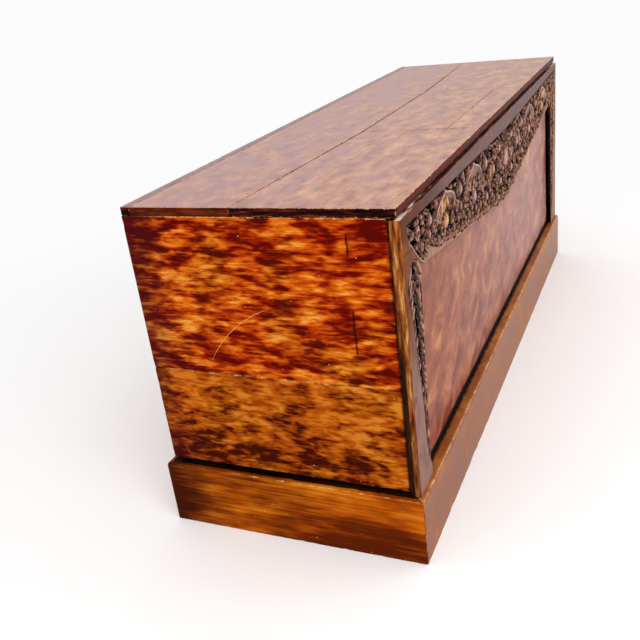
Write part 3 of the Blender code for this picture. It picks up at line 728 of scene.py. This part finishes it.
for side, name in ((1, "left"), (-1, "right")):
    block = cutOut(stripPoints, front["face"], front["ground"], stile["arris"])
    toSide(block, side)
    for way in (-1, 1):
        paintFaces(block, 0, way, 1)
    # side faces towards the panel take the black hollow lacquer: painted shade in the recess
    for face in block.faces:
        if face.material_index and abs(face.calc_center_median().x) < stile["inner"]:
            face.material_index = 2
    addPiece(f"stile_strip_{name}", block, "chest", [stileLacquer, stileSideWood, hollowDustAndShade],
             smooth=15)
    block = cutOut(stile["neck"], stile["neckFace"], front["rear"], stile["arris"])
    toSide(block, side)
    addPiece(f"stile_neck_{name}", block, "chest", [stileLacquer], smooth=15)
print("carved front grounds made")

# one carved leaf, one petal and one seed, cut once and stamped many times; a few dozen faces each
leaf = {"leafHalf": [0.10, 0.36, 0.30, 0.48, 0.34, 0.26, 0.03], "leafFold": -0.34,
        "petalHalf": [0.14, 0.34, 0.46, 0.40, 0.10], "petalFold": 0.16, "root": -0.3, "low": 0.55, "swell": 0.45,
        "swellFrom": 0.05, "swellRun": 0.85, "swept": 0.05}


# half widths from stem to tip, and a middle line gouged in or raised
def leafTemplate(name, halfWidths, fold):
    block = bmesh.new()
    count = len(halfWidths) - 1
    bmesh.ops.create_grid(block, x_segments=count, y_segments=2, size=0.5)
    for vert in block.verts:
        share = vert.co.x + 0.5
        side = round(vert.co.y * 2)
        rise = math.sin(math.pi * min(1.0, share * leaf["swellRun"] + leaf["swellFrom"]))
        vert.co = (share - leaf["swept"] * abs(side) * share, side * halfWidths[round(share * count)],
                   leaf["low"] + leaf["swell"] * rise + (fold if side == 0 and 0 < share < 1 else 0.0))
    for vert in vertsOf(bmesh.ops.extrude_face_region(block, geom=block.faces[:])):
        vert.co.z = leaf["root"]
    bmesh.ops.recalc_face_normals(block, faces=block.faces)
    return toMesh(block, name)


leafShape = leafTemplate("leaf shape", leaf["leafHalf"], leaf["leafFold"])
petalShape = leafTemplate("petal shape", leaf["petalHalf"], leaf["petalFold"])
block = bmesh.new()
bmesh.ops.create_icosphere(block, subdivisions=1, radius=0.5)
seedShape = toMesh(block, "seed shape")


# lists one cut on the front: place is (x, z), heading in degrees from +x, size is length, width and relief
def stamp(cuts, shape, x, z, heading, size, tilt=0.0, lift=0.0):
    angle = math.radians(heading)
    c, s = math.cos(angle), math.sin(angle)
    turn = Matrix(((c, -s, 0), (0, 0, -1), (s, c, 0))).to_4x4()
    place = Matrix.Translation((x, front["ground"] - lift, z)) @ turn @ Matrix.Rotation(tilt, 4, "X")
    cuts.append((shape, place @ Matrix.Diagonal((*size, 1.0))))


# sets the listed cuts in a block, a few dozen at a time because adding to a small block is quicker
def carve(block, cuts, atOnce=40):
    for start in range(0, len(cuts), atOnce):
        batch = bmesh.new()
        for shape, place in cuts[start:start + atOnce]:
            first = len(batch.verts)
            batch.from_mesh(shape)
            batch.verts.ensure_lookup_table()
            bmesh.ops.transform(batch, matrix=place, verts=batch.verts[first:])
        for vert in batch.verts:
            vert.co.y = max(vert.co.y, front["face"])       # nothing stands proud of the board it was cut from
        pour(batch, block)


def mirrored(cuts):
    flip = Matrix.Diagonal((-1.0, 1.0, 1.0, 1.0))
    return [(shape, flip @ place) for shape, place in cuts]


# round bead along a path of (x, z) points, as rings bridged one to the next
def bead(block, path, radius, sides, lift):
    rings = []
    for index, (x, z) in enumerate(path):
        before = path[max(0, index - 1)]
        after = path[min(len(path) - 1, index + 1)]
        heading = Vector((after[0] - before[0], 0, after[1] - before[1])).normalized()
        turn = heading.to_track_quat("Z", "Y").to_matrix().to_4x4()
        thick = radius(index / (len(path) - 1)) if callable(radius) else radius
        spot = Matrix.Translation((x, front["ground"] - lift, z)) @ turn
        closed = index in (0, len(path) - 1)
        ring = bmesh.ops.create_circle(block, cap_ends=closed, segments=sides, radius=thick, matrix=spot)["verts"]
        rings.append(ring)
    for one, two in zip(rings, rings[1:]):
        loops = [e for ring in (one, two) for e in {e for v in ring for e in v.link_edges}
                 if all(v in ring for v in e.verts)]
        bmesh.ops.bridge_loops(block, edges=loops)


# rings from the outer one in: reach, how many petals fewer, share of the relief; only large flowers have the third
flower = {"rings": [(1.0, 0, 0.66), (0.70, 1, 0.85), (0.42, 3, 1.0)], "large": 17 * mm, "widest": 0.8, "around": 5.2,
          "tilt": 0.12, "heart": 0.32, "heartHigh": 1.75}


def rosette(cuts, x, z, size, petals, relief, lift=0.0):
    for ring, (reach, fewer, high) in enumerate(flower["rings"][:3 if size > flower["large"] else 2]):
        count = petals - fewer
        wide = size * reach * min(flower["widest"], flower["around"] / count)
        for step in range(count):
            heading = 360 * (step + 0.5 * ring) / count
            stamp(cuts, petalShape, x, z, heading, (size * reach, wide, relief * high), flower["tilt"], lift)
    heart = size * flower["heart"]
    stamp(cuts, seedShape, x, z, 0, (heart, heart, relief * flower["heartHigh"]), 0.0, lift)


curl = {"turns": 1.3, "points": 14, "close": 0.82, "thin": 0.35, "sides": 5, "lift": 7 * mm}


# bead rolled up towards its middle, thinner as it goes
def spiral(block, x, z, size, start, way, thick):
    count = round(curl["points"] * curl["turns"])
    path = []
    for step in range(count + 1):
        share = step / count
        angle = math.radians(start) + way * 2 * math.pi * curl["turns"] * share
        reach = size * (1 - curl["close"] * share)
        path.append((x + reach * math.cos(angle), z + reach * math.sin(angle)))
    bead(block, path, lambda share: thick * (1 - curl["thin"] * share), curl["sides"], curl["lift"])


# left half of the frieze: bell arches, flowers with leaves round them, curls between; places are (from end, drop)
frieze = {
    # middle, peak drop, half width, height
    "arches": [(0.290, 0.029, 0.078, 0.066), (0.530, 0.036, 0.082, 0.078)],
    "bell": [(-1.0, 0.0), (-1.0, 0.18), (-0.96, 0.36), (-0.86, 0.55), (-0.70, 0.70), (-0.50, 0.80), (-0.30, 0.86),
             (-0.14, 0.905), (-0.05, 0.95), (0.0, 1.0)],
    "bandEnd": 18 * mm, "bandMiddle": 38 * mm, "edgeStep": 8 * mm, "rim": 3 * mm, "slope": 2.5 * mm, "dish": 2.6 * mm,
    "sink": 0.36, "archFace": front["face"] + 1.2 * mm, "archHigh": 6.0 * mm, "arris": 1.2 * mm,
    # lower edge of the board: where it leaves the stile, its shoulder, and its middle
    "neck": (0.056, 0.067), "shoulder": (0.150, 0.127), "middleDrop": 0.224,
    # how far down the carving reaches
    "carvedEdge": [(0.030, 0.045), (0.056, 0.060), (0.080, 0.084), (0.100, 0.100), (0.118, 0.112), (0.134, 0.117),
                   (0.150, 0.110), (0.165, 0.094), (0.185, 0.106), (0.215, 0.122), (0.243, 0.126), (0.486, 0.164),
                   (0.885, 0.219)],
    "boundary": [(0.031, 0.031), (0.036, 0.048), (0.046, 0.0585)],
    "boundaryRun": [0.058, 0.070, 0.082, 0.094, 0.106, 0.118, 0.130],
    "lipFace": -0.2755, "lipRun": [0.1265, 0.13825, 0.150],
    "lipUpper": [(0.136, 0.116), (0.146, 0.104), (0.156, 0.088), (0.176, 0.086), (0.215, 0.108), (0.300, 0.124)],
    "lipMiddle": 0.204,
    # across, drop, heading, length, width, lift
    "budLeaves": [(0.254, 0.070, 76, 0.034, 0.015, 0.0065), (0.268, 0.070, 55, 0.028, 0.013, 0.0065),
                  (0.300, 0.068, 105, 0.026, 0.012, 0.0065), (0.690, 0.124, 80, 0.036, 0.015, 0.0)],
    # across, drop, size, petals, way the leaves swirl, rubbed to orange
    "flowers": [(0.070, 0.050, 0.012, 8, 1, False), (0.120, 0.088, 0.016, 9, -1, False),
                (0.176, 0.056, 0.019, 11, 1, False), (0.230, 0.112, 0.013, 8, -1, False),
                (0.290, 0.092, 0.019, 10, 1, True), (0.346, 0.124, 0.013, 8, -1, False),
                (0.408, 0.062, 0.022, 12, 1, False), (0.424, 0.122, 0.014, 9, -1, False),
                (0.478, 0.140, 0.015, 9, 1, False), (0.530, 0.114, 0.022, 12, -1, False),
                (0.586, 0.150, 0.015, 9, 1, False), (0.652, 0.070, 0.023, 12, -1, False),
                (0.652, 0.150, 0.018, 10, 1, False), (0.730, 0.104, 0.027, 14, 1, False),
                (0.732, 0.178, 0.015, 9, -1, False), (0.806, 0.070, 0.021, 12, -1, False),
                (0.812, 0.156, 0.020, 11, 1, False)],
    "curls": [(0.098, 0.054, 0.014, 1), (0.152, 0.094, 0.013, -1), (0.205, 0.076, 0.013, 1), (0.372, 0.090, 0.014, -1),
              (0.446, 0.090, 0.014, 1), (0.612, 0.108, 0.016, -1), (0.692, 0.108, 0.016, 1), (0.770, 0.140, 0.016, -1),
              (0.770, 0.076, 0.015, 1), (0.848, 0.190, 0.013, 1)],
    "footTop": 0.6, "leafTop": 0.42, "flowerHigh": 10.5 * mm, "budHigh": 11.3 * mm, "curlThick": 3.4 * mm,
    # where leaves are tried, and the slopes of (across, drop, across for each drop) that bound them at the end
    "leafAcross": (0.030, 0.884), "leafDrop": (0.024, 0.217), "slopeDrop": 0.040,
    "endSlopes": [(0.034, 0.030, 0.5), (0.049, 0.0585, 1.17)],
    "leafSpacing": 9.4 * mm, "leafLong": (11, 25), "leafWide": (0.50, 0.66), "leafHigh": 12.0, "leafTilt": 0.35,
    "seed": 17, "tries": 26000, "bead": (2.2 * mm, 6, 8 * mm), "leafLow": 6.5, "overLip": 9.0, "lipReach": 18 * mm,
    "tipsFrom": 0.104, "tipLong": 14 * mm, "tipWide": 7 * mm, "tipHigh": (9, 11.3),
    "middle": {"drop": 0.112, "size": 0.044, "petals": 15, "high": 11 * mm, "leaves": 18, "turn": 11, "ring": 0.038,
               "leaf": (0.026, 0.014, 9.5 * mm)},
}


# x and z of a place on the left half
def onFront(across, drop):
    return front["left"] + across, front["topEdge"] - drop


# how far across a line of (across, height) points is at this height
def edgeAt(points, z):
    for (a0, z0), (a1, z1) in zip(points, points[1:]):
        if min(z0, z1) <= z <= max(z0, z1):
            return a0 + (a1 - a0) * (z - z0) / (z1 - z0)
    return 0.0


def lowerDrop(across):
    (neck, high), (shoulder, low) = frieze["neck"], frieze["shoulder"]
    if across < shoulder:
        return high + (low - high) * math.sin(math.pi / 2 * (across - neck) / (shoulder - neck))
    return low + (frieze["middleDrop"] - low) * (across - shoulder) / (-front["left"] - shoulder)


carvedLine = [(drop, across) for across, drop in frieze["carvedEdge"]]


def bellPath(middle, peak, half, high):
    base = front["topEdge"] - peak - high
    left = [(front["left"] + middle + half * across, base + high * up) for across, up in frieze["bell"]]
    right = [(2 * (front["left"] + middle) - x, z) for x, z in reversed(left[:-1])]
    return left + right


# how far an arch's dished field stands over the ground here, for the work on its foot
def archLift(x, z):
    for middle, peak, half, high in frieze["arches"]:
        up = (z - (front["topEdge"] - peak - high)) / high
        if abs(x - front["left"] - middle) < half and 0.0 < up < frieze["footTop"]:
            return frieze["archHigh"] * min(1.0, up / frieze["sink"])
    return 0.0


# inside an arch, above the leaves at its foot
def underBell(x, z, grow):
    for middle, peak, half, high in frieze["arches"]:
        across = abs(x - front["left"] - middle) / (half + grow)
        up = (z - (front["topEdge"] - peak - high)) / (high + grow)
        if across < 1 and frieze["leafTop"] < up:
            for (a0, u0), (a1, u1) in zip(frieze["bell"], frieze["bell"][1:]):
                if -a1 <= across <= -a0 and a1 > a0:
                    return up < u0 + (u1 - u0) * (across + a0) / (a0 - a1)
    return False


# plain lip below the carving, in one outline from end to end
lipLow = [(across, lowerDrop(across)) for across in frieze["lipRun"]]
lipDrops = lipLow + [(-front["left"], frieze["middleDrop"])] + farEnd(lipLow[::-1] + frieze["lipUpper"])
lipDrops += [(-front["left"], frieze["lipMiddle"])] + frieze["lipUpper"][::-1]
block = cutOut([(across, front["topEdge"] - drop) for across, drop in lipDrops], frieze["lipFace"], front["ground"],
               frieze["arris"])
addPiece("frieze_lip", block, "chest", [lipLacquer], smooth=15)

carving = bmesh.new()
arches = bmesh.new()
leafCuts, flowerCuts, budCuts = [], [], []
rng = random.Random(frieze["seed"])
for middle, peak, half, high in frieze["arches"]:
    outline = [(x - front["left"], z) for x, z in bellPath(middle, peak, half, high)]
    plate = cutOut(outline, frieze["archFace"], front["ground"] + 1 * mm, frieze["arris"])
    field = max(plate.faces, key=lambda f: -f.normal.y * f.calc_area())
    for wide, deep in ((frieze["rim"], 0), (frieze["slope"], -frieze["dish"])):
        bmesh.ops.inset_region(plate, faces=[field], thickness=wide, depth=deep, use_even_offset=True)
    for face in plate.faces:
        if face.calc_center_median().y < frieze["archFace"] + 1 * mm:
            face.material_index = 1
    for vert in plate.verts:
        up = (vert.co.z - (front["topEdge"] - peak - high)) / high
        if vert.co.y < front["ground"]:
            vert.co.y += (front["ground"] - vert.co.y) * max(0.0, 1.0 - up / frieze["sink"])
    pour(plate, arches)
mirrorCopy(arches)
addPiece("frieze_arches", arches, "chest", [bandLacquer, leafLacquer], smooth=15)
for across, drop, size, petals, way, rubbed in frieze["flowers"]:
    x, z = onFront(across, drop)
    lift = archLift(x, z + size * 0.5)
    rosette(budCuts if rubbed else flowerCuts, x, z, size, petals, frieze["flowerHigh"] - lift * 0.8, lift)
for across, drop, heading, length, wide, lift in frieze["budLeaves"]:
    stamp(budCuts, leafShape, *onFront(across, drop), heading, (length, wide, frieze["budHigh"] - lift), 0.1, lift)
for across, drop, size, way in frieze["curls"]:
    spiral(carving, *onFront(across, drop), size, rng.uniform(0, 360), way, frieze["curlThick"])


# the plain band is narrower at the ends
def bandDrop(across):
    return frieze["bandEnd"] + (frieze["bandMiddle"] - frieze["bandEnd"]) * across / -front["left"]


taken = []
cell = frieze["leafSpacing"]
grid = {}
for attempt in range(frieze["tries"]):
    across = rng.uniform(*frieze["leafAcross"])
    drop = rng.uniform(*frieze["leafDrop"])
    x, z = onFront(across, drop)
    if not bandDrop(across) + 4 * mm <= drop <= edgeAt(carvedLine, across) - 3 * mm or underBell(x, z, 2 * mm):
        continue
    bounds = [start + (drop - level) * slope for start, level, slope in frieze["endSlopes"]]
    if drop > frieze["slopeDrop"] and across < max(bounds):
        continue
    key = (int(x // cell), int(z // cell))
    crowd = [p for i in (-1, 0, 1) for j in (-1, 0, 1) for p in grid.get((key[0] + i, key[1] + j), ())]
    if any(math.hypot(x - px, z - pz) < cell for px, pz in crowd):
        continue
    bloom = min(frieze["flowers"], key=lambda f: math.hypot(across - f[0], drop - f[1]) / f[2])
    outX, outZ = across - bloom[0], bloom[1] - drop
    if math.hypot(outX, outZ) < bloom[2] * 0.75:
        continue
    if any(math.hypot(across - c[0], drop - c[1]) < c[2] * 0.8 for c in frieze["curls"]):
        continue
    grid.setdefault(key, []).append((x, z))
    taken.append((x, z, math.degrees(math.atan2(outZ, outX)) + bloom[4] * 40 + rng.uniform(-24, 24)))
for x, z, heading in taken:
    length = rng.uniform(*frieze["leafLong"]) * mm
    tip = (x + length * math.cos(math.radians(heading)), z + length * math.sin(math.radians(heading)))
    drop = front["topEdge"] - tip[1]
    edge = edgeAt(carvedLine, -front["left"] - abs(tip[0]))
    if drop > edge or drop < bandDrop(x - front["left"]) + 1 * mm:
        length *= 0.6
    lift = archLift(x, z)
    lowest = frieze["overLip" if drop > edge - frieze["lipReach"] else "leafLow"]
    size = (length, length * rng.uniform(*frieze["leafWide"]), rng.uniform(lowest, frieze["leafHigh"]) * mm - lift)
    stamp(leafCuts, leafShape, x, z, heading, size, rng.uniform(-frieze["leafTilt"], frieze["leafTilt"]), lift)
print("frieze leaves, left half:", len(taken))

# leaf tips along the lower end of the carving
across = frieze["tipsFrom"]
while across < frieze["leafAcross"][1]:
    x, z = onFront(across, edgeAt(carvedLine, across))
    stamp(leafCuts, leafShape, x, z + 12 * mm, -90 + rng.uniform(-30, 30),
          (frieze["tipLong"], frieze["tipWide"], rng.uniform(*frieze["tipHigh"]) * mm), rng.uniform(-0.2, 0.2))
    across += frieze["edgeStep"]
# bead along the left boundary of the carved field
boundary = frieze["boundary"] + [(across, lowerDrop(across) - 3 * mm) for across in frieze["boundaryRun"]]
bead(carving, [onFront(across, drop) for across, drop in boundary], *frieze["bead"])
mirrorCopy(carving)
carve(carving, leafCuts + mirrored(leafCuts))
addPiece("frieze_leaves", carving, "chest", [leafLacquer], smooth=30)
buds = bmesh.new()
carve(buds, budCuts + mirrored(budCuts))
addPiece("frieze_buds", buds, "chest", [budLacquer], smooth=30)
# one large flower in the middle, ringed by leaves
middle = frieze["middle"]
height = front["topEdge"] - middle["drop"]
middleCuts = []
rosette(middleCuts, 0.0, height, middle["size"], middle["petals"], middle["high"])
for step in range(middle["leaves"]):
    heading = 360 * step / middle["leaves"] + middle["turn"]
    angle = math.radians(heading)
    stamp(middleCuts, leafShape, middle["ring"] * math.cos(angle), height + middle["ring"] * math.sin(angle), heading,
          middle["leaf"], 0.1)
flowers = bmesh.new()
carve(flowers, flowerCuts + mirrored(flowerCuts) + middleCuts)
addPiece("frieze_flowers", flowers, "chest", [leafLacquer], smooth=30)
print("frieze carved")

# carved tails of the stiles: a hanging spray of leaves under a curl, inside a thin bead
tail = {"right": [(0.0995, 0.560), (0.0983, 0.520), (0.0945, 0.450), (0.0902, 0.370), (0.0863, 0.290), (0.0832, 0.210),
                  (0.0822, 0.182)],
        "crown": [(0.060, 0.611), (0.072, 0.606), (0.084, 0.595), (0.094, 0.580)], "bead": (1.7 * mm, 5, 7.5 * mm),
        # across, up, size, first heading, way it turns and thickness
        "curls": [(0.048, 0.568, 0.020, 90, 1, 3.0 * mm), (0.076, 0.560, 0.018, 60, -1, 2.8 * mm)],
        "inset": 2.0 * mm, "top": 0.590, "straight": 0.5595, "slender": 0.345, "foot": 0.200, "long": 36 * mm,
        "wide": 13 * mm, "apart": 15 * mm, "seed": 5}

for side, name in ((1, "left"), (-1, "right")):
    block = bmesh.new()
    tailCuts = []
    rng = random.Random(tail["seed"])
    leftSide = [(across + tail["inset"], up) for across, up in stile["tail"][:-1]]
    outline = [(front["left"] + across, up) for across, up in leftSide + tail["crown"] + tail["right"]]
    bead(block, outline, *tail["bead"])
    for across, up, size, start, way, thick in tail["curls"]:
        spiral(block, front["left"] + across, up, size, start, way, thick)
    level = tail["top"]
    turn = 1
    while level > tail["foot"]:
        leftEdge = edgeAt(stile["tail"], level)
        wide = edgeAt(tail["right"], min(level, tail["straight"])) - leftEdge
        middle = front["left"] + leftEdge + wide / 2
        if level > tail["slender"]:
            for way in (-1, 1):
                length = max(15 * mm, wide * rng.uniform(0.50, 0.66))
                stamp(tailCuts, leafShape, middle + way * wide * 0.12, level + length * 0.35,
                      -90 + way * rng.uniform(18, 42), (length, length * 0.5, rng.uniform(8, 12) * mm), way * 0.3)
            level -= max(12 * mm, wide * 0.30)
        else:
            # slender leaves hang to one side and the other in turn
            stamp(tailCuts, leafShape, middle + turn * wide * 0.20, level + 14 * mm, -90 - turn * rng.uniform(4, 16),
                  (tail["long"], min(tail["wide"], wide * 0.5), rng.uniform(8, 11) * mm), turn * 0.2)
            turn = -turn
            level -= tail["apart"]
    carve(block, tailCuts)
    toSide(block, side)
    addPiece(f"stile_carving_{name}", block, "chest", [tailLacquer], smooth=30)
print("stiles carved")

# inner pieces keep their CAD shape and get bare wood along their longest side; those of the plinth and the bottom
# battens get near-black wood as dirt and painted shade
for name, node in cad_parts.items():
    if not node.hide_render:
        low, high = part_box(name)
        longest = max(range(3), key=lambda axis: (high - low)[axis])
        node.data.materials.clear()
        woods = dirtAndShadeWoods if name.startswith(("plinth_", "bottom_batten")) else rawWoods
        node.data.materials.append(woods[longest])

studio = {"floor": "#FFFFFF", "floorSize": 30, "world": 0.84, "near": 1.2, "far": 2.4, "white": 0.97,
          # size, power, place and target
          "lamps": {"key softbox": (2.4, 52.0, (-2.4, -1.6, 3.0), (-0.4, 0, 0.4)),
                    "fill softbox": (2.0, 16.0, (1.2, -3.0, 2.0), (0.2, 0, 0.4))},
          "lens": 44.67, "sensor": 36, "cameraPlace": (-2.073, -0.692, 1.093),
          "cameraTurn": (66.1287, 6.6037, -67.0021)}
white = (1.0, 1.0, 1.0, 1.0)


# 1 for rays that show the stage to the eye, straight or in a reflection, and 0 for light that falls on the object
def seenRays(tree):
    path = addNode(tree, "LightPath").outputs
    first = addNode(tree, "Math", [path["Is Camera Ray"], path["Is Glossy Ray"]], operation="MAXIMUM")
    return addNode(tree, "Math", [first, path["Is Transmission Ray"]], operation="MAXIMUM")


block = bmesh.new()
bmesh.ops.create_grid(block, x_segments=1, y_segments=1, size=studio["floorSize"])
floorMesh = toMesh(block, "floor")
# matt white paper: takes the object's shadow near by, and is plain white further off
paper, tree, shader, spot = newMaterial("matt white paper", {
    "Base Color": linear(studio["floor"]), "Roughness": 0.9, "Specular IOR Level": 0.1})
reach = addNode(tree, "VectorMath", [spot], operation="LENGTH").outputs["Value"]
fade = addNode(tree, "MapRange", [reach, studio["near"], studio["far"]], interpolation_type="SMOOTHSTEP")
glow = addNode(tree, "Emission", {"Color": white, "Strength": studio["white"]})
mixed = addNode(tree, "MixShader", [product(tree, fade, seenRays(tree)), shader, glow])
fill(tree, tree.nodes["Material Output"], {"Surface": mixed})
floorMesh.materials.append(paper)
floor = addObject("floor", floorMesh)

world = bpy.data.worlds.new("studio")
world.use_nodes = True
tree = world.node_tree
power = addNode(tree, "MapRange", [seenRays(tree), 0.0, 1.0, studio["world"], studio["white"]])
fill(tree, tree.nodes["Background"], {"Color": white, "Strength": power})
bpy.context.scene.world = world

for name, (size, energy, place, target) in studio["lamps"].items():
    lamp = bpy.data.lights.new(name, "AREA")
    lamp.size = size
    lamp.energy = energy
    holder = addObject(name, lamp)
    holder.location = place
    holder.rotation_euler = (Vector(target) - Vector(place)).to_track_quat("-Z", "Y").to_euler()

camera = bpy.data.cameras.new("camera")
camera.lens = studio["lens"]
camera.sensor_width = studio["sensor"]
camera.sensor_fit = "HORIZONTAL"
cameraHolder = addObject("camera", camera)
cameraHolder.location = studio["cameraPlace"]
cameraHolder.rotation_euler = [math.radians(angle) for angle in studio["cameraTurn"]]
bpy.context.scene.camera = cameraHolder
bpy.context.scene.view_settings.view_transform = "Standard"

bpy.context.view_layer.update()
print("finished")
